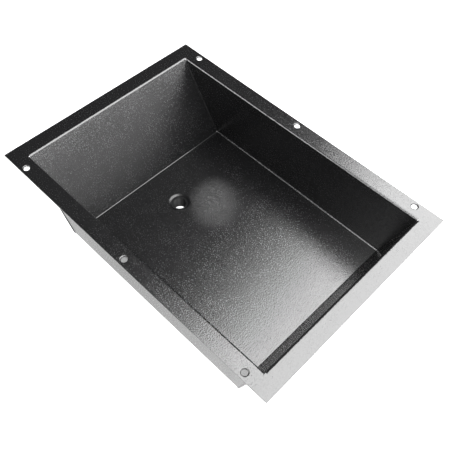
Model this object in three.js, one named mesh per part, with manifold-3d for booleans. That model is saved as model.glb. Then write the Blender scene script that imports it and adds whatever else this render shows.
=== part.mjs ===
// Oil drain pan: a welded sheet-steel tray that hangs in an opening by its flange.
// One folded channel makes the floor, the two side walls and the two long flanges. A folded panel
// closes each end, and a threaded half coupling is let into the floor as the drain.
// Units are millimetres and +Z is up. The origin is the middle of the opening, level with the
// underside of the flange. +X runs to the steep end, and +Y is the left side.

import * as THREE from 'three';
import { mergeVertices } from 'three/addons/utils/BufferGeometryUtils.js';
import Module from 'manifold-3d';

const wasm = await Module();
wasm.setup();

// ---- Driving dimensions ----
const overallLength = 508;
const overallWidth = 355.6;
const flangeWidth = 25.4; // flange edge to the inner face of the wall below it
const innerDepth = 114; // flange top to floor
const sheet = 2;
const foldInside = 1.5; // inside radius of every fold
const rampRun = 77; // how far the ramp end leans in between rim and floor
const steepRun = 36;

const boltHole = { endSpacing: 212, inset: 8.8, radius: 4.15, mouthRadius: 6.2 };
const relief = { width: 0.8, depth: 4.6 }; // slot in the flange where a side fold stops

const drain = { x: -84, outerRadius: 17.5, boreRadius: 11.7, length: 25 };
const funnel = { innerRadius: 12.2, depth: 1.6 }; // sloping top face of the coupling
const couplingChamfer = 0.8;

const beadRadius = 2.6;
const filletLeg = 3.5;
const clearance = 0.3; // between neighbouring pieces

// ---- Derived places ----
const flangeTop = sheet;
const floorTop = flangeTop - innerDepth;
const halfLength = overallLength / 2;
const halfWidth = overallWidth / 2;
const wallY = halfWidth - flangeWidth; // inner face of a side wall
const rimX = halfLength - flangeWidth; // where an end wall's inner face meets the flange top
const foldOutside = foldInside + sheet;
const edgeGap = clearance / 2;

const ends = [
  { name: 'ramp', side: -1, run: rampRun },
  { name: 'steep', side: 1, run: steepRun },
];
const sides = [
  { name: 'left', side: 1 },
  { name: 'right', side: -1 },
];

// ---- Materials: black powder coat, which lies a little smoother on the welds and the coupling ----
const panelCoat = { color: 0x1b1c1d, roughness: 0.42, metalness: 0.1 };
const weldCoat = { color: 0x1d1e1f, roughness: 0.38, metalness: 0.1 };
const couplingCoat = { color: 0x1c1d1e, roughness: 0.36, metalness: 0.1 };

// ---- Joining and cutting ----
const weldTolerance = 1e-4;

function toSolid(geometry) {
  const bare = geometry.clone();
  bare.deleteAttribute('normal');
  bare.deleteAttribute('uv');
  const merged = mergeVertices(bare, weldTolerance);
  const mesh = new wasm.Mesh({
    numProp: 3,
    vertProperties: new Float32Array(merged.attributes.position.array),
    triVerts: new Uint32Array(merged.index.array),
  });
  return new wasm.Manifold(mesh);
}

function toGeometry(solid) {
  const mesh = solid.getMesh();
  const geometry = new THREE.BufferGeometry();
  geometry.setAttribute('position', new THREE.BufferAttribute(mesh.vertProperties, 3));
  geometry.setIndex(new THREE.BufferAttribute(mesh.triVerts, 1));
  const flat = geometry.toNonIndexed();
  flat.computeVertexNormals();
  return flat;
}

// ---- Prisms and turned shapes ----
const arcSegments = 4; // each fold is drawn with twice as many flats

// A prism of the outline drawn on the plane of the axes u and v, from one place to another along
// the third axis w, where u, v and w are right-handed.
function prism(outline, u, v, w, from, to) {
  const settings = { depth: to - from, bevelEnabled: false, curveSegments: arcSegments };
  const geometry = new THREE.ExtrudeGeometry(outline, settings);
  geometry.translate(0, 0, from);
  geometry.applyMatrix4(new THREE.Matrix4().makeBasis(u, v, w));
  return geometry;
}

const axisX = new THREE.Vector3(1, 0, 0);
const axisY = new THREE.Vector3(0, 1, 0);
const axisZ = new THREE.Vector3(0, 0, 1);

const prismAlongX = (outline, from, to) => prism(outline, axisY, axisZ, axisX, from, to);
const prismAlongY = (outline, from, to) => prism(outline, axisZ, axisX, axisY, from, to);
const prismAlongZ = (outline, from, to) => prism(outline, axisX, axisY, axisZ, from, to);

// A body of revolution about a vertical axis through (x, y). The profile is a list of [radius, height]
// points, drawn anticlockwise, that starts and ends on the axis or is closed into a loop here.
function turned(profile, segments, x, y) {
  const points = profile.map(([radius, height]) => new THREE.Vector2(radius, height));
  if (points[0].x > 0) points.push(points[0].clone());
  const geometry = new THREE.LatheGeometry(points, segments);
  geometry.rotateX(Math.PI / 2);
  geometry.translate(x, y, 0);
  return geometry;
}

function polygon(points) {
  return new THREE.Shape(points.map(([x, y]) => new THREE.Vector2(x, y)));
}

// The outline of a folded sheet. The corners are those of its upper surface, which is on the left
// of the path, and the sheet lies on the right of it.
function foldedOutline(corners) {
  const points = corners.map(([x, y]) => new THREE.Vector2(x, y));
  const along = points.slice(1).map((point, i) => point.clone().sub(points[i]).normalize());
  const right = along.map((d) => new THREE.Vector2(d.y, -d.x));
  const folds = along.slice(1).map((next, i) => {
    const before = along[i];
    const turn = Math.atan2(before.cross(next), before.dot(next));
    const toLeft = turn > 0;
    const upperRadius = toLeft ? foldInside : foldOutside;
    const lowerRadius = toLeft ? foldOutside : foldInside;
    const setback = upperRadius * Math.tan(Math.abs(turn) / 2);
    const centre = points[i + 1].clone().addScaledVector(before, -setback);
    centre.addScaledVector(right[i], toLeft ? -upperRadius : upperRadius);
    const start = Math.atan2(right[i].y, right[i].x) + (toLeft ? 0 : Math.PI);
    return { centre, upperRadius, lowerRadius, start, end: start + turn, clockwise: !toLeft };
  });

  const outline = new THREE.Shape();
  const first = points[0];
  const last = points[points.length - 1];
  const firstBelow = first.clone().addScaledVector(right[0], sheet);
  const lastBelow = last.clone().addScaledVector(right[right.length - 1], sheet);
  outline.moveTo(firstBelow.x, firstBelow.y);
  outline.lineTo(first.x, first.y);
  for (const fold of folds) {
    outline.absarc(fold.centre.x, fold.centre.y, fold.upperRadius, fold.start, fold.end, fold.clockwise);
  }
  outline.lineTo(last.x, last.y);
  outline.lineTo(lastBelow.x, lastBelow.y);
  for (const fold of folds.reverse()) {
    outline.absarc(fold.centre.x, fold.centre.y, fold.lowerRadius, fold.end, fold.start, !fold.clockwise);
  }
  return outline;
}

// ---- End geometry shared by the channel, the panels and the welds ----
// Directions in the X-Z plane: down the end wall, and out through it.
function endDirections(end) {
  const slope = Math.hypot(end.run, innerDepth);
  const down = new THREE.Vector3((-end.side * end.run) / slope, 0, -innerDepth / slope);
  const out = new THREE.Vector3((end.side * innerDepth) / slope, 0, -end.run / slope);
  const rim = new THREE.Vector3(end.side * rimX, 0, flangeTop);
  const foot = rim.clone().addScaledVector(down, slope);
  return { slope, down, out, rim, foot };
}

// ---- Channel: floor, side walls and long flanges ----
const flangeOverlap = 6; // flat that the folded strip shares with the flange plates

function channelStrip() {
  const reach = wallY + foldOutside + flangeOverlap;
  const outline = foldedOutline([
    [-reach, flangeTop],
    [-wallY, flangeTop],
    [-wallY, floorTop],
    [wallY, floorTop],
    [wallY, flangeTop],
    [reach, flangeTop],
  ]);
  return toSolid(prismAlongX(outline, -rimX, rimX));
}

// Everything beyond an end wall's inner face, so that the channel stops short of the panel.
function endCutter(end) {
  const { rim, foot } = endDirections(end);
  const inward = -end.side * clearance;
  const beyond = end.side * overallLength;
  const points = [
    [rim.z, rim.x + inward],
    [foot.z, foot.x + inward],
    [foot.z - innerDepth, foot.x + inward],
    [foot.z - innerDepth, beyond],
    [rim.z + innerDepth, beyond],
    [rim.z + innerDepth, rim.x + inward],
  ];
  return toSolid(prismAlongY(polygon(points), -overallWidth, overallWidth));
}

// One long flange as a flat plate. It holds the tray's corner squares, and a relief slot separates
// each corner square from the fold.
function flangePlate(side) {
  const cornerY = wallY + sheet + edgeGap;
  const slotY = wallY + relief.depth;
  const slotX = rimX + relief.width;
  const half = [
    [slotX, slotY],
    [slotX, cornerY],
    [halfLength, cornerY],
    [halfLength, halfWidth],
  ];
  const mirrored = half.map(([x, y]) => [-x, y]).reverse();
  const loop = [...half, ...mirrored].map(([x, y]) => [x, side * y]);
  return toSolid(prismAlongZ(polygon(loop), flangeTop - sheet, flangeTop));
}

// A bolt hole with a rounded mouth, as wide again as the sheet is thick.
const mouthSteps = 4;
const holeSegments = 24;

function boltHoleCutter(x, y) {
  const profile = [[0, -sheet], [boltHole.radius, -sheet]];
  for (let step = 0; step <= mouthSteps; step += 1) {
    const angle = (step / mouthSteps) * (Math.PI / 2);
    const radius = boltHole.mouthRadius - (boltHole.mouthRadius - boltHole.radius) * Math.cos(angle);
    profile.push([radius, flangeTop - sheet * (1 - Math.sin(angle))]);
  }
  profile.push([boltHole.mouthRadius, flangeTop + sheet], [0, flangeTop + sheet]);
  return toSolid(turned(profile, holeSegments, x, y));
}

const drainSegments = 48;

function drainCutter() {
  const radius = drain.outerRadius + clearance;
  const profile = [
    [0, floorTop - 2 * sheet],
    [radius, floorTop - 2 * sheet],
    [radius, floorTop + sheet],
    [0, floorTop + sheet],
  ];
  return toSolid(turned(profile, drainSegments, drain.x, 0));
}

function channelSheet() {
  let solid = channelStrip();
  for (const end of ends) solid = solid.subtract(endCutter(end));
  for (const { side } of sides) {
    solid = solid.add(flangePlate(side));
    for (const x of [-boltHole.endSpacing, 0, boltHole.endSpacing]) {
      solid = solid.subtract(boltHoleCutter(x, side * (halfWidth - boltHole.inset)));
    }
  }
  return toGeometry(solid.subtract(drainCutter()));
}

// ---- End panels: a sloping wall with its flange folded out at the top ----
// The outline's first axis is up and its second is along the pan, so the path runs down the steep
// end and up the ramp end to keep the sheet outside the tray.
function endPanel(end) {
  const { rim, foot, down } = endDirections(end);
  const edge = foot.clone().addScaledVector(down, -edgeGap);
  const corners = [
    [flangeTop, end.side * halfLength],
    [flangeTop, rim.x],
    [edge.z, edge.x],
  ];
  const path = end.side > 0 ? corners : corners.reverse();
  return prismAlongY(foldedOutline(path), -wallY + edgeGap, wallY - edgeGap);
}

// ---- Welds ----
const beadSegments = 8;

// A weld bead's section: a slice of a disc between two directions, set clear of both edges.
function beadSection(from, to) {
  const half = (to - from) / 2;
  const middle = from + half;
  const setOut = edgeGap / Math.sin(half);
  const tip = [setOut * Math.cos(middle), setOut * Math.sin(middle)];
  const points = [tip];
  for (let step = 0; step <= beadSegments; step += 1) {
    const angle = from + (step / beadSegments) * (to - from);
    points.push([tip[0] + beadRadius * Math.cos(angle), tip[1] + beadRadius * Math.sin(angle)]);
  }
  return polygon(points);
}

// Where the corner beads may reach: the channel's outside, a bead's height proud of it.
function beadEnvelope() {
  const proud = edgeGap + beadRadius - sheet;
  const y = wallY + sheet + proud;
  const bottom = floorTop - sheet - proud;
  const radius = foldOutside + proud;
  const outline = new THREE.Shape();
  outline.moveTo(y, flangeTop);
  outline.lineTo(-y, flangeTop);
  outline.absarc(-y + radius, bottom + radius, radius, Math.PI, 1.5 * Math.PI, false);
  outline.absarc(y - radius, bottom + radius, radius, 1.5 * Math.PI, 2 * Math.PI, false);
  return toSolid(prismAlongX(outline, -overallLength, overallLength));
}

// The bead down the open corner between an end panel and a side wall.
function cornerWeld(end, side) {
  const { slope, down, out, rim } = endDirections(end);
  const sideways = axisY.clone().multiplyScalar(side);
  const forward = out.clone().cross(sideways).dot(down) > 0;
  const [u, v] = forward ? [out, sideways] : [sideways, out];
  const section = beadSection(0, Math.PI / 2);
  const geometry = prism(section, u, v, down, foldOutside, slope);
  geometry.translate(rim.x, side * wallY, rim.z);
  return toGeometry(toSolid(geometry).intersect(beadEnvelope()));
}

// The bead across the bottom, between an end panel and the floor.
function floorWeld(end) {
  const { foot, out } = endDirections(end);
  const below = Math.PI; // the outline's first axis points up, so this is straight down
  const throughPanel = Math.atan2(out.x, out.z);
  const panelAngle = throughPanel > 0 ? throughPanel : throughPanel + 2 * Math.PI;
  const section = beadSection(Math.min(below, panelAngle), Math.max(below, panelAngle));
  const geometry = prismAlongY(section, -wallY + edgeGap, wallY - edgeGap);
  geometry.translate(foot.x, 0, foot.z);
  return geometry;
}

// The flush weld across the flange, between an end panel's flange and a corner square.
function flangeWeld(end, side) {
  const inner = side * (wallY + edgeGap);
  const outer = side * (wallY + sheet - edgeGap);
  const start = end.side * (rimX + relief.width);
  const finish = end.side * halfLength;
  const outline = polygon([[start, inner], [finish, inner], [finish, outer], [start, outer]]);
  return prismAlongZ(outline, flangeTop - sheet, flangeTop);
}

// The fillet under the floor, around the coupling.
function couplingWeld() {
  const inner = drain.outerRadius + clearance;
  const top = floorTop - sheet - clearance;
  const profile = [
    [inner, top - filletLeg],
    [inner + filletLeg, top],
    [inner, top],
  ];
  return turned(profile, drainSegments, drain.x, 0);
}

// ---- Drain coupling: a half coupling whose top face funnels into the bore ----
function drainCoupling() {
  const bottom = floorTop - drain.length;
  const funnelFoot = floorTop - funnel.depth;
  const profile = [
    [drain.boreRadius + couplingChamfer, bottom],
    [drain.outerRadius - couplingChamfer, bottom],
    [drain.outerRadius, bottom + couplingChamfer],
    [drain.outerRadius, floorTop],
    [funnel.innerRadius, funnelFoot],
    [drain.boreRadius, funnelFoot - couplingChamfer],
    [drain.boreRadius, bottom + couplingChamfer],
  ];
  return turned(profile, drainSegments, drain.x, 0);
}

// ---- Assembly ----
const pan = new THREE.Group();
pan.name = 'oil_drain_pan';

function addPiece(parent, name, geometry, coat) {
  const piece = new THREE.Mesh(geometry, new THREE.MeshStandardMaterial(coat));
  piece.name = name;
  parent.add(piece);
}

addPiece(pan, 'channel_sheet', channelSheet(), panelCoat);

const drainGroup = new THREE.Group();
addPiece(drainGroup, 'drain_coupling', drainCoupling(), couplingCoat);
addPiece(drainGroup, 'drain_coupling_weld', couplingWeld(), weldCoat);
pan.add(drainGroup);

for (const end of ends) {
  const endGroup = new THREE.Group();
  addPiece(endGroup, `${end.name}_end_panel`, endPanel(end), panelCoat);
  addPiece(endGroup, `${end.name}_floor_weld`, floorWeld(end), weldCoat);
  for (const { name, side } of sides) {
    addPiece(endGroup, `${end.name}_${name}_corner_weld`, cornerWeld(end, side), weldCoat);
    addPiece(endGroup, `${end.name}_${name}_flange_weld`, flangeWeld(end, side), weldCoat);
  }
  pan.add(endGroup);
}

export default pan;
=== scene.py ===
"""A welded sheet-steel oil drain pan under black powder coat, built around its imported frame.

One folded channel makes the floor, the side walls and the long flanges. A folded panel closes each
end. Weld beads run round the outside of both ends, fillets round the inside, and a threaded half
coupling is let into the floor. Everything is in metres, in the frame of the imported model.
"""

import math

import bmesh
import bpy
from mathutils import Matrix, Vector


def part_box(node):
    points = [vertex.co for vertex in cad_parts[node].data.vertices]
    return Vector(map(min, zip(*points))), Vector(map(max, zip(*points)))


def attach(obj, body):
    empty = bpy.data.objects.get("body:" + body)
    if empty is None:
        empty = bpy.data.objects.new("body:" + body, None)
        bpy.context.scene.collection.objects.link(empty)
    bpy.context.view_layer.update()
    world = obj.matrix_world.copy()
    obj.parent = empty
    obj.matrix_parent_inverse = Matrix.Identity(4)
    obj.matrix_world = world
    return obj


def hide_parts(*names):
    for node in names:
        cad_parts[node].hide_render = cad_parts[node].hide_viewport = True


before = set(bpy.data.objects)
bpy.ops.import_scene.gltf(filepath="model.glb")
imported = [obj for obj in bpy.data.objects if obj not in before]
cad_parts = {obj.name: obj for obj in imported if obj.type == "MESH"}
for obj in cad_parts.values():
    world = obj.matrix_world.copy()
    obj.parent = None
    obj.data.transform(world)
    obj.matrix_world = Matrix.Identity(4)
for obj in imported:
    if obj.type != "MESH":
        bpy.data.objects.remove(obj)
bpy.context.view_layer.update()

MM = 0.001
INCH = 25.4 * MM

# ---- Sizes read from the frame ----
channel_low, channel_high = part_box("channel_sheet")
_, ramp_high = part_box("ramp_end_panel")
steep_low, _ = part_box("steep_end_panel")
coupling_low, coupling_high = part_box("drain_coupling")

HALF_LENGTH = channel_high.x
HALF_WIDTH = channel_high.y
FLANGE_TOP = channel_high.z
SHEET = FLANGE_TOP  # the flange's underside is at zero
FLOOR_TOP = channel_low.z + SHEET
EDGE_GAP = 0.15 * MM  # half of the clearance between neighbouring solids of the frame
WALL_Y = ramp_high.y + EDGE_GAP
RIM_X = HALF_LENGTH - (HALF_WIDTH - WALL_Y)
DEPTH = FLANGE_TOP - FLOOR_TOP
DRAIN = (coupling_low + coupling_high) / 2
COUPLING_RADIUS = (coupling_high.x - coupling_low.x) / 2
COUPLING_BOTTOM = coupling_low.z

# ---- Shop dimensions that the frame's boxes can't tell ----
FOLD_INSIDE = 2.1 * MM  # inside radius of every fold
FOLD_OUTSIDE = FOLD_INSIDE + SHEET
FOLD_STEPS = 16
CUT_EDGE = 0.3 * MM  # how far the coat rounds a sheared edge
CUT_EDGE_STEPS = 3
FLANGE_OVERLAP = 6 * MM  # how far the folded strip runs into the flange plate it is joined to

RELIEF_WIDTH = 0.8 * MM
RELIEF_DEPTH = 4.6 * MM

HOLE_SPACING = 212 * MM
HOLE_INSET = 8.8 * MM
HOLE_RADIUS = 4.15 * MM
HOLE_MOUTH = 6.2 * MM
HOLE_MOUTH_STEPS = 12
ROUND_STEPS = 96

BORE_RADIUS = 10.8 * MM  # at the crest of the thread
BORE_TAPER = 0.4 * MM  # how much smaller the thread is at its lower end
FUNNEL_RADIUS = 13.5 * MM
FUNNEL_DEPTH = 0.9 * MM
LEDGE_RADIUS = 12.6 * MM
LEDGE_DEPTH = 2.1 * MM
COUPLING_CHAMFER = 0.8 * MM
COUPLING_EDGE = 0.2 * MM  # the small bevel round its top face
THREADS_PER_INCH = 14
THREAD_DEPTH = 0.9 * MM
THREAD_FLANK = 1.25  # above 1, the groove has a flat root
ROWS_PER_THREAD = 10

BEAD_RADIUS = 2.75 * MM
BEAD_STEPS = 10
BEAD_END = 0.35  # the share of its height that a bead keeps at its very ends
FILLET = 0.6 * MM
FILLET_STEPS = 6
COUPLING_WELD_LEG = 4 * MM
COUPLING_WELD_BULGE = 0.5 * MM
RIPPLE_PITCH = 2.6 * MM
RIPPLE_HEIGHT = 0.22 * MM
RIPPLE_POWER = 0.7  # below 1, the crests are broad and the valleys narrow
SEAM_BOW = 0.32  # how far a crescent bows along its bead, in pitches
COUPLING_BOW = 0.3
DRIFT_WAVES = [(0.25, 9.3 * MM, 0), (0.15, 4.1 * MM, 1)]  # share of the height, length, phase
RING_STEP = 0.45 * MM


class End:
    """One end of the tray: its side along X, and the plane of its panel's inner face."""

    def __init__(self, name, side, foot_x):
        self.name = name
        self.side = side
        run = RIM_X - abs(foot_x)
        slope = math.hypot(run, DEPTH)
        self.down = Vector((-side * run, 0, -DEPTH)) / slope
        self.out = Vector((side * DEPTH, 0, -run)) / slope

    def x_at(self, z):
        """Where the panel's inner face stands at a height."""
        return self.side * RIM_X + self.down.x * (FLANGE_TOP - z) / -self.down.z


ENDS = [End("ramp", -1, ramp_high.x), End("steep", 1, steep_low.x)]
SIDES = [("left", 1), ("right", -1)]


# ---- Outlines ----
def spaced(start, end):
    """Evenly spaced numbers from start to end, about one ring step apart."""
    count = max(1, round(abs(end - start) / RING_STEP))
    return [start + (end - start) * i / count for i in range(count + 1)]


def arc(centre, radius, start, end, steps):
    """Points on an arc from one angle to another, both ends included."""
    angles = [start + (end - start) * i / steps for i in range(steps + 1)]
    return [
        Vector((centre[0] + radius * math.cos(a), centre[1] + radius * math.sin(a)))
        for a in angles
    ]


def folded_outline(corners, round_start, round_end):
    """The section of a folded sheet, from the corners of its upper face.

    The sheet lies to the right of the line through the corners. The ends that are asked for get
    the small rounding of a coated sheared edge.
    """
    points = [Vector(corner) for corner in corners]
    along = [(b - a).normalized() for a, b in zip(points, points[1:])]
    right = [Vector((d.y, -d.x)) for d in along]
    upper = []
    lower = []
    for i, corner in enumerate(points[1:-1]):
        before, after = along[i], along[i + 1]
        turn = math.atan2(before.x * after.y - before.y * after.x, before.dot(after))
        left = turn > 0
        upper_radius = FOLD_INSIDE if left else FOLD_OUTSIDE
        lower_radius = FOLD_OUTSIDE if left else FOLD_INSIDE
        centre = corner - before * upper_radius * math.tan(abs(turn) / 2)
        centre += right[i] * (-upper_radius if left else upper_radius)
        start = math.atan2(right[i].y, right[i].x) + (0 if left else math.pi)
        upper += arc(centre, upper_radius, start, start + turn, FOLD_STEPS)
        lower += arc(centre, lower_radius, start, start + turn, FOLD_STEPS)
    first = sheet_edge(points[0], along[0], right[0], round_start)
    last = sheet_edge(points[-1], -along[-1], right[-1], round_end)
    return first[::-1] + upper + last + lower[::-1]


def sheet_edge(top, inward, below, rounded):
    """The points of a sheet's cut edge from its upper face to its lower one."""
    if not rounded:
        return [top, top + below * SHEET]
    turns = [math.pi / 2 * i / CUT_EDGE_STEPS for i in range(CUT_EDGE_STEPS + 1)]
    edge = []
    for corner, towards in ((top, below), (top + below * SHEET, -below)):
        rounding = [
            corner + inward * CUT_EDGE * (1 - math.sin(a)) + towards * CUT_EDGE * (1 - math.cos(a))
            for a in turns
        ]
        edge += rounding if towards is below else rounding[::-1]
    return edge


# ---- Mesh helpers ----
def loft(bm, rings):
    """Quads between successive closed rings of points, and a face on each end ring."""
    rows = [[bm.verts.new(point) for point in ring] for ring in rings]
    count = len(rows[0])
    for before, after in zip(rows, rows[1:]):
        for i in range(count):
            j = (i + 1) % count
            bm.faces.new((before[i], before[j], after[j], after[i]))
    bm.faces.new(rows[0][::-1])
    bm.faces.new(rows[-1])


def round_about(centre, radius, turn, height):
    """The point at a radius, angle and height about a vertical axis."""
    return (centre[0] + radius * math.cos(turn), centre[1] + radius * math.sin(turn), height)


def turned(bm, profile, centre, steps, radius_at):
    """A hollow body of revolution about a vertical axis, from a closed profile.

    The profile's points are (radius, height), and radius_at gives the radius that each has at a turn.
    """
    rows = []
    for i in range(steps):
        turn = 2 * math.pi * i / steps
        ring = []
        for radius, height in profile:
            place = round_about(centre, radius_at(radius, height, turn), turn, height)
            ring.append(bm.verts.new(place))
        rows.append(ring)
    for i, row in enumerate(rows):
        after = rows[(i + 1) % steps]
        for j in range(len(profile)):
            k = (j + 1) % len(profile)
            bm.faces.new((row[j], row[k], after[k], after[j]))


def plug(bm, profile, centre, steps):
    """A solid of revolution from (radius, height) points, closed flat at both ends."""
    turns = [2 * math.pi * i / steps for i in range(steps)]
    loft(bm, [[round_about(centre, r, turn, z) for turn in turns] for r, z in profile])


def new_object(name, bm):
    bmesh.ops.recalc_face_normals(bm, faces=bm.faces)
    mesh = bpy.data.meshes.new(name)
    bm.to_mesh(mesh)
    bm.free()
    obj = bpy.data.objects.new(name, mesh)
    bpy.context.scene.collection.objects.link(obj)
    return obj


def combine(obj, other, operation):
    """Joins another closed object to this one or cuts it away, and removes the other."""
    modifier = obj.modifiers.new(operation, "BOOLEAN")
    modifier.operation = operation
    modifier.solver = "MANIFOLD"
    modifier.object = other
    apply_modifiers(obj)
    bpy.data.objects.remove(other)


def apply_modifiers(obj):
    evaluated = obj.evaluated_get(bpy.context.evaluated_depsgraph_get())
    mesh = bpy.data.meshes.new_from_object(evaluated)
    obj.modifiers.clear()
    obj.data = mesh


SMOOTH_ANGLE = math.radians(32)
LARGE_FACES_LEAD = 100  # the modifier's strongest setting


def finish_piece(obj, material, slot, *nodes, inside=None, is_inside=None):
    """Smooth shading across the folds, the coat, and the piece's place in the frame.

    Where a second material is given, the faces that is_inside picks out get it.
    """
    for polygon in obj.data.polygons:
        polygon.use_smooth = True
    obj.data.set_sharp_from_angle(angle=SMOOTH_ANGLE)
    weighted = obj.modifiers.new("weighted_normals", "WEIGHTED_NORMAL")
    weighted.keep_sharp = True
    weighted.weight = LARGE_FACES_LEAD
    apply_modifiers(obj)
    obj.data.materials.clear()
    obj.data.materials.append(material)
    if inside:
        obj.data.materials.append(inside)
        for polygon in obj.data.polygons:
            polygon.material_index = int(is_inside(polygon.center))
    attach(obj, "root")
    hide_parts(*nodes)


# ---- Materials ----
BLACK = (0.0010, 0.0010, 0.0011)
COAT_IOR = 1.5
NOISE_LOW = 0.3  # nearly all of a noise texture's values lie between these two
NOISE_HIGH = 0.7
GRAIN_SCALE = 600
GRAIN_DETAIL = 1
PATCH_SCALE = 38
PATCH_DETAIL = 4
PATCH_SPREAD = 0.02  # how far the patches' roughness strays to either side


def socket(node, name, value):
    node.inputs[name].default_value = value


def powder_coat(name, grain, roughness, sparkle=0.0, specular=0.5):
    """Black powder coat: a fine bump whose points differ in gloss, over slow patches that do too."""
    material = bpy.data.materials.new(name)
    material.use_nodes = True
    nodes = material.node_tree.nodes
    links = material.node_tree.links
    shader = nodes["Principled BSDF"]
    socket(shader, "Base Color", (*BLACK, 1))
    socket(shader, "IOR", COAT_IOR)
    socket(shader, "Specular IOR Level", specular)

    place = nodes.new("ShaderNodeTexCoord")

    def noise(scale, detail):
        node = nodes.new("ShaderNodeTexNoise")
        socket(node, "Scale", scale)
        socket(node, "Detail", detail)
        links.new(place.outputs["Object"], node.inputs["Vector"])
        return node

    def spread(source, low, high):
        node = nodes.new("ShaderNodeMapRange")
        socket(node, "From Min", NOISE_LOW)
        socket(node, "From Max", NOISE_HIGH)
        socket(node, "To Min", low)
        socket(node, "To Max", high)
        links.new(source.outputs[0], node.inputs["Value"])
        return node

    bump = nodes.new("ShaderNodeBump")
    socket(bump, "Strength", 1.0)
    socket(bump, "Distance", grain)
    links.new(noise(GRAIN_SCALE, GRAIN_DETAIL).outputs[0], bump.inputs["Height"])
    links.new(bump.outputs["Normal"], shader.inputs["Normal"])

    patches = spread(
        noise(PATCH_SCALE, PATCH_DETAIL), roughness - PATCH_SPREAD, roughness + PATCH_SPREAD
    )
    points = spread(noise(GRAIN_SCALE, GRAIN_DETAIL), -sparkle, sparkle)
    total = nodes.new("ShaderNodeMath")
    links.new(patches.outputs[0], total.inputs[0])
    links.new(points.outputs[0], total.inputs[1])
    links.new(total.outputs[0], shader.inputs["Roughness"])
    return material


panel_coat = powder_coat("panel_coat", grain=0.23 * MM, roughness=0.2, sparkle=0.09)
weld_coat = powder_coat("weld_coat", grain=0.07 * MM, roughness=0.2)
coupling_coat = powder_coat("coupling_coat", grain=0.07 * MM, roughness=0.2, specular=0.28)
thread_coat = powder_coat("thread_coat", grain=0.07 * MM, roughness=0.5, specular=0.1)


# ---- Channel: floor, side walls and long flanges ----
def channel_strip():
    """The folded sheet without its flanges' outer parts, cut to the slope of the end panels."""
    reach = WALL_Y + FOLD_OUTSIDE + FLANGE_OVERLAP
    corners = [
        (-reach, FLANGE_TOP),
        (-WALL_Y, FLANGE_TOP),
        (-WALL_Y, FLOOR_TOP),
        (WALL_Y, FLOOR_TOP),
        (WALL_Y, FLANGE_TOP),
        (reach, FLANGE_TOP),
    ]
    outline = folded_outline(corners, False, False)
    bm = bmesh.new()
    loft(bm, [[(end.x_at(z), y, z) for y, z in outline] for end in ENDS])
    return new_object("channel", bm)


def flange_plate(side):
    """One long flange with two of the tray's corner squares, and the relief slots beside the folds.

    The slots on the right are open, and those on the left are filled.
    """
    corner_y = WALL_Y + SHEET + EDGE_GAP
    slot_y = WALL_Y + RELIEF_DEPTH
    slot_x = RIM_X + (RELIEF_WIDTH if side < 0 else -EDGE_GAP)
    half = [
        (slot_x, slot_y),
        (slot_x, corner_y),
        (HALF_LENGTH, corner_y),
        (HALF_LENGTH, HALF_WIDTH),
    ]
    loop = half + [(-x, y) for x, y in reversed(half)]
    bm = bmesh.new()
    loft(bm, [[(x, side * y, z) for x, y in loop] for z in (0, FLANGE_TOP)])
    round_outer_edges(bm)
    return new_object("flange_plate", bm)


def round_outer_edges(bm):
    """Rounds the flange's outer edges and corners, and leaves the edges that meet a weld sharp."""
    tolerance = 0.01 * MM

    def on_end(vert):
        return abs(abs(vert.co.x) - HALF_LENGTH) < tolerance

    def on_side(vert):
        return abs(abs(vert.co.y) - HALF_WIDTH) < tolerance

    def outer(edge):
        a, b = edge.verts
        upright = abs(a.co.z - b.co.z) > tolerance
        if upright:
            return on_end(a) and on_side(a)
        return (on_end(a) and on_end(b)) or (on_side(a) and on_side(b))

    edges = [edge for edge in bm.edges if outer(edge)]
    bmesh.ops.bevel(
        bm, geom=edges, offset=CUT_EDGE, segments=CUT_EDGE_STEPS, profile=0.5, affect="EDGES"
    )


def bolt_hole(x, y):
    """The shape of a bolt hole whose mouth is rounded through the thickness of the sheet."""
    profile = [(HOLE_RADIUS, -SHEET)]
    for i in range(HOLE_MOUTH_STEPS + 1):
        turn = math.pi / 2 * i / HOLE_MOUTH_STEPS
        radius = HOLE_MOUTH - (HOLE_MOUTH - HOLE_RADIUS) * math.cos(turn)
        profile.append((radius, FLANGE_TOP * math.sin(turn)))
    profile.append((HOLE_MOUTH, 2 * FLANGE_TOP))
    bm = bmesh.new()
    plug(bm, profile, (x, y), ROUND_STEPS)
    return new_object("bolt_hole", bm)


def floor_hole():
    """The shape of the hole that the coupling is let into."""
    profile = [(COUPLING_RADIUS, FLOOR_TOP - 2 * SHEET), (COUPLING_RADIUS, FLOOR_TOP + SHEET)]
    bm = bmesh.new()
    plug(bm, profile, DRAIN, 2 * ROUND_STEPS)
    return new_object("floor_hole", bm)


def build_channel():
    channel = channel_strip()
    for _, side in SIDES:
        combine(channel, flange_plate(side), "UNION")
        for x in (-HOLE_SPACING, 0, HOLE_SPACING):
            combine(channel, bolt_hole(x, side * (HALF_WIDTH - HOLE_INSET)), "DIFFERENCE")
    combine(channel, floor_hole(), "DIFFERENCE")
    finish_piece(channel, panel_coat, "panel_coat", "channel_sheet")


# ---- End panels ----
def build_end_panel(end):
    """A sloping wall with its flange folded out at the top. The outline is drawn on the Z-X plane."""
    foot = (FLOOR_TOP, end.x_at(FLOOR_TOP))
    corners = [(FLANGE_TOP, end.side * HALF_LENGTH), (FLANGE_TOP, end.side * RIM_X), foot]
    if end.side > 0:
        outline = folded_outline(corners, True, False)
    else:
        outline = folded_outline(corners[::-1], False, True)
    bm = bmesh.new()
    loft(bm, [[(x, y, z) for z, x in outline] for y in (-WALL_Y, WALL_Y)])
    panel = new_object(f"{end.name}_panel", bm)
    finish_piece(panel, panel_coat, "panel_coat", f"{end.name}_end_panel")


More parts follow.
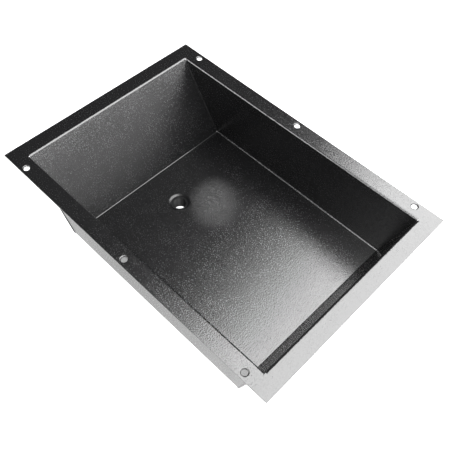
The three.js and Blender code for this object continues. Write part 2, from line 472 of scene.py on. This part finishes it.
# ---- Welds ----
def crescent(phase, across, bow):
    """The height of a bead's stacked crescents, from -0.5 to 0.5, at a place across it (-1 to 1)."""
    return abs(math.sin(math.pi * (phase + bow * across * across))) ** RIPPLE_POWER - 0.5


def seam_ripple(distance, across):
    """The ripples of a seam's bead, whose height drifts along it."""
    drift = sum(share * math.sin(distance / length + phase) for share, length, phase in DRIFT_WAVES)
    return RIPPLE_HEIGHT * (crescent(distance / RIPPLE_PITCH, across, SEAM_BOW) + drift)


def floor_section():
    """The (y, z) points of a floor seam, from one bottom fold to the other."""
    fold_y = WALL_Y - FOLD_INSIDE
    return [Vector((y, FLOOR_TOP)) for y in spaced(-fold_y, fold_y)]


def corner_section():
    """The (y, z) points of a left corner seam: round the bottom fold and up to the top one."""
    centre = (WALL_Y - FOLD_INSIDE, FLOOR_TOP + FOLD_INSIDE)
    fold = arc(centre, FOLD_INSIDE, -math.pi / 2, 0, FOLD_STEPS)
    wall = [Vector((WALL_Y, z)) for z in spaced(centre[1], FLANGE_TOP - FOLD_OUTSIDE)]
    return fold + wall[1:]


def seam_path(end, section):
    """The places along a joint between an end panel and the channel.

    Each is a point on the panel's inner face, the direction of the joint, and the direction that
    leads out of the tray within the panel's plane.
    """
    points = [Vector((end.x_at(z), y, z)) for y, z in section]
    path = []
    for i, point in enumerate(points):
        before = points[max(i - 1, 0)]
        after = points[min(i + 1, len(points) - 1)]
        tangent = (after - before).normalized()
        outward = tangent.cross(end.out) * end.side
        path.append((point, tangent, outward))
    return path


def bead_rings(end, path):
    """A convex bead in the open corner between the panel's edge and the channel's end."""
    rings = []
    distance = 0
    length = sum((b[0] - a[0]).length for a, b in zip(path, path[1:]))
    for i, (point, _, outward) in enumerate(path):
        if i:
            distance += (point - path[i - 1][0]).length
        fade = min(1, BEAD_END + min(distance, length - distance) / (2 * BEAD_RADIUS))
        ring = [point]
        for step in range(BEAD_STEPS + 1):
            across = 2 * step / BEAD_STEPS - 1
            turn = math.pi / 2 * step / BEAD_STEPS
            radius = BEAD_RADIUS + seam_ripple(distance, across) * (1 - across * across)
            radius = SHEET + (radius - SHEET) * fade
            ring.append(point + radius * (math.cos(turn) * end.out + math.sin(turn) * outward))
        rings.append(ring)
    return rings


def fillet_rings(end, path):
    """A small concave fillet on the inside of the same joint."""
    rings = []
    along_x = Vector((-end.side, 0, 0))
    for point, tangent, outward in path:
        on_channel = (along_x - along_x.dot(tangent) * tangent).normalized()
        ring = [point]
        for step in range(FILLET_STEPS + 1):
            t = step / FILLET_STEPS
            ring.append(point + FILLET * (on_channel * t * t - outward * (1 - t) * (1 - t)))
        rings.append(ring)
    return rings


def build_seam_weld(end, name, section, mirror):
    """The bead and fillet along one joint. Mirroring moves a left corner's seam to the right."""
    path = seam_path(end, section)
    bm = bmesh.new()
    for rings in (bead_rings(end, path), fillet_rings(end, path)):
        if mirror:
            rings = [[Vector((p.x, -p.y, p.z)) for p in ring] for ring in rings]
        loft(bm, rings)
    weld = new_object(name + "_bead", bm)
    finish_piece(weld, weld_coat, "weld_coat", name + "_weld")


def build_flange_weld(end, side_name, side):
    """The ground weld in the flange, flush with the panel's flange and the corner square.

    It stops short of the relief slot on the right, and starts at the fold on the left.
    """
    start = RIM_X + (EDGE_GAP if side > 0 else RELIEF_WIDTH)
    near, far = end.side * start, end.side * HALF_LENGTH
    inner, outer = side * WALL_Y, side * (WALL_Y + SHEET + EDGE_GAP)
    loop = [(near, inner), (far, inner), (far, outer), (near, outer)]
    bm = bmesh.new()
    loft(bm, [[(x, y, z) for x, y in loop] for z in (0, FLANGE_TOP)])
    round_outer_edges(bm)
    name = f"{end.name}_{side_name}_flange"
    weld = new_object(name + "_seam", bm)
    finish_piece(weld, panel_coat, "weld_coat", name + "_weld")


def build_coupling_weld():
    """The rippled fillet under the floor, around the coupling."""
    leg = COUPLING_WELD_LEG
    top = FLOOR_TOP - SHEET
    profile = [(COUPLING_RADIUS, top), (COUPLING_RADIUS, top - leg)]
    for i in range(1, BEAD_STEPS):
        t = i / BEAD_STEPS
        bulge = COUPLING_WELD_BULGE * math.sin(math.pi * t)
        profile.append((COUPLING_RADIUS + leg * t + bulge, top - leg * (1 - t) - bulge))
    profile.append((COUPLING_RADIUS + leg, top))
    mean = COUPLING_RADIUS + leg / 2
    ripples = round(2 * math.pi * mean / RIPPLE_PITCH)
    steps = 6 * ROUND_STEPS  # enough of them to draw each ripple

    def radius_at(radius, height, turn):
        t = (radius - COUPLING_RADIUS) / leg
        if t <= 0 or height >= top:
            return radius
        phase = turn * ripples / (2 * math.pi)
        return radius + RIPPLE_HEIGHT * crescent(phase, 2 * t - 1, COUPLING_BOW)

    bm = bmesh.new()
    turned(bm, profile, DRAIN, steps, radius_at)
    weld = new_object("drain_coupling_bead", bm)
    finish_piece(weld, weld_coat, "weld_coat", "drain_coupling_weld")


# ---- Drain coupling ----
def build_coupling():
    """A half coupling whose top face runs through a funnel and a ledge into a threaded bore."""
    pitch = INCH / THREADS_PER_INCH
    funnel_foot = FLOOR_TOP - FUNNEL_DEPTH
    thread_top = FLOOR_TOP - LEDGE_DEPTH
    thread_bottom = COUPLING_BOTTOM + COUPLING_CHAMFER
    rows = round((thread_top - thread_bottom) / pitch * ROWS_PER_THREAD)
    thread = [
        (
            BORE_RADIUS - BORE_TAPER * i / rows,
            thread_top + (thread_bottom - thread_top) * i / rows,
        )
        for i in range(rows + 1)
    ]
    profile = [
        (COUPLING_RADIUS - COUPLING_CHAMFER, COUPLING_BOTTOM),
        (COUPLING_RADIUS, thread_bottom),
        (COUPLING_RADIUS, FLOOR_TOP - COUPLING_EDGE),
        (COUPLING_RADIUS - COUPLING_EDGE, FLOOR_TOP),
        (FUNNEL_RADIUS, funnel_foot),
        (LEDGE_RADIUS, thread_top),
        *thread,
        (BORE_RADIUS - BORE_TAPER + 0.5 * COUPLING_CHAMFER, COUPLING_BOTTOM),
    ]

    def radius_at(radius, height, turn):
        if radius > BORE_RADIUS or not thread_bottom <= height <= thread_top:
            return radius
        phase = (height / pitch + turn / (2 * math.pi)) % 1
        groove = min(1, THREAD_FLANK * (1 - abs(2 * phase - 1)))
        ends = min(height - thread_bottom, thread_top - height)
        return radius + THREAD_DEPTH * groove * min(1, max(0, ends) / pitch)

    def in_bore(place):
        reach = math.hypot(place.x - DRAIN.x, place.y - DRAIN.y)
        return reach < FUNNEL_RADIUS and COUPLING_BOTTOM < place.z < funnel_foot

    bm = bmesh.new()
    turned(bm, profile, DRAIN, ROUND_STEPS, radius_at)
    coupling = new_object("drain_fitting", bm)
    finish_piece(
        coupling,
        coupling_coat,
        "coupling_coat",
        "drain_coupling",
        inside=thread_coat,
        is_inside=in_bore,
    )


# ---- Studio ----
STAGE_Z = -0.45
STAGE_SIZE = 30
STAGE_GREY = 0.42
STAGE_ROUGHNESS = 0.9
SOFTBOX_TWIST = 6  # degrees
SPOT_RADIUS = 2 * MM
AMBIENT = 0.24

# The viewpoint was solved from the proportions of the flange, the rim and the floor.
CAMERA_PLACE = (0.37187, -0.38527, 0.66768)
CAMERA_ANGLES = (35.252, -1.376, 44.642)  # degrees
CAMERA_LENS = 49.13
CAMERA_SENSOR = 36


def build_stage():
    bm = bmesh.new()
    bmesh.ops.create_grid(bm, x_segments=1, y_segments=1, size=STAGE_SIZE / 2)
    stage = new_object("studio_floor", bm)
    stage.location.z = STAGE_Z
    material = bpy.data.materials.new("studio_floor")
    material.use_nodes = True
    shader = material.node_tree.nodes["Principled BSDF"]
    socket(shader, "Base Color", (STAGE_GREY, STAGE_GREY, STAGE_GREY, 1))
    socket(shader, "Roughness", STAGE_ROUGHNESS)
    stage.data.materials.append(material)


def add_light(data, place, target):
    """Puts a light in the scene, aimed at a target."""
    light = bpy.data.objects.new(data.name, data)
    light.location = place
    light.rotation_euler = (Vector(target) - Vector(place)).to_track_quat("-Z", "Y").to_euler()
    bpy.context.scene.collection.objects.link(light)
    return light


def area_light(name, place, target, size, radiance):
    """A soft light of the given radiance, where 1 is the white of the picture."""
    data = bpy.data.lights.new(name, "AREA")
    data.shape = "RECTANGLE"
    data.size = size[0]
    data.size_y = size[1]
    data.energy = radiance * math.pi * size[0] * size[1]
    return add_light(data, place, target)


def spot_light(name, place, target, degrees, power):
    """A narrow beam that draws a round patch of light."""
    data = bpy.data.lights.new(name, "SPOT")
    data.energy = power
    data.spot_size = math.radians(degrees)
    data.spot_blend = 1
    data.shadow_soft_size = SPOT_RADIUS
    return add_light(data, place, target)


def build_lights():
    softbox = area_light(
        "softbox", place=(0.91, 0.5, 1.2), target=(0.91, 0.5, 0), size=(2.4, 3.2), radiance=16
    )
    softbox.rotation_euler.z += math.radians(SOFTBOX_TWIST)
    area_light(
        "side_panel", place=(3.2, 0.6, 1.0), target=(0, 0, 0.2), size=(6.0, 2.8), radiance=1.5
    )
    area_light(
        "front_panel", place=(-1.2, -2.0, 0.78), target=(0, 0.15, 0), size=(2.8, 1.25), radiance=12
    )
    spot_light(
        "small_spot",
        place=(-0.70, 0.68, 1.1),
        target=(-0.045, 0.04, FLOOR_TOP),
        degrees=3.5,
        power=3.9,
    )
    world = bpy.data.worlds.new("studio")
    world.use_nodes = True
    background = world.node_tree.nodes["Background"]
    socket(background, "Color", (1, 1, 1, 1))
    socket(background, "Strength", AMBIENT)
    bpy.context.scene.world = world


def build_camera():
    data = bpy.data.cameras.new("camera")
    data.lens = CAMERA_LENS
    data.sensor_width = CAMERA_SENSOR
    camera = bpy.data.objects.new("camera", data)
    camera.location = CAMERA_PLACE
    camera.rotation_euler = [math.radians(angle) for angle in CAMERA_ANGLES]
    bpy.context.scene.collection.objects.link(camera)
    bpy.context.scene.camera = camera


build_camera()
build_channel()
for end in ENDS:
    build_end_panel(end)
    build_seam_weld(end, f"{end.name}_floor", floor_section(), mirror=False)
    for side_name, side in SIDES:
        corner_name = f"{end.name}_{side_name}_corner"
        build_seam_weld(end, corner_name, corner_section(), mirror=side < 0)
        build_flange_weld(end, side_name, side)
build_coupling()
build_coupling_weld()
build_stage()
build_lights()
bpy.context.scene.view_settings.view_transform = "Standard"
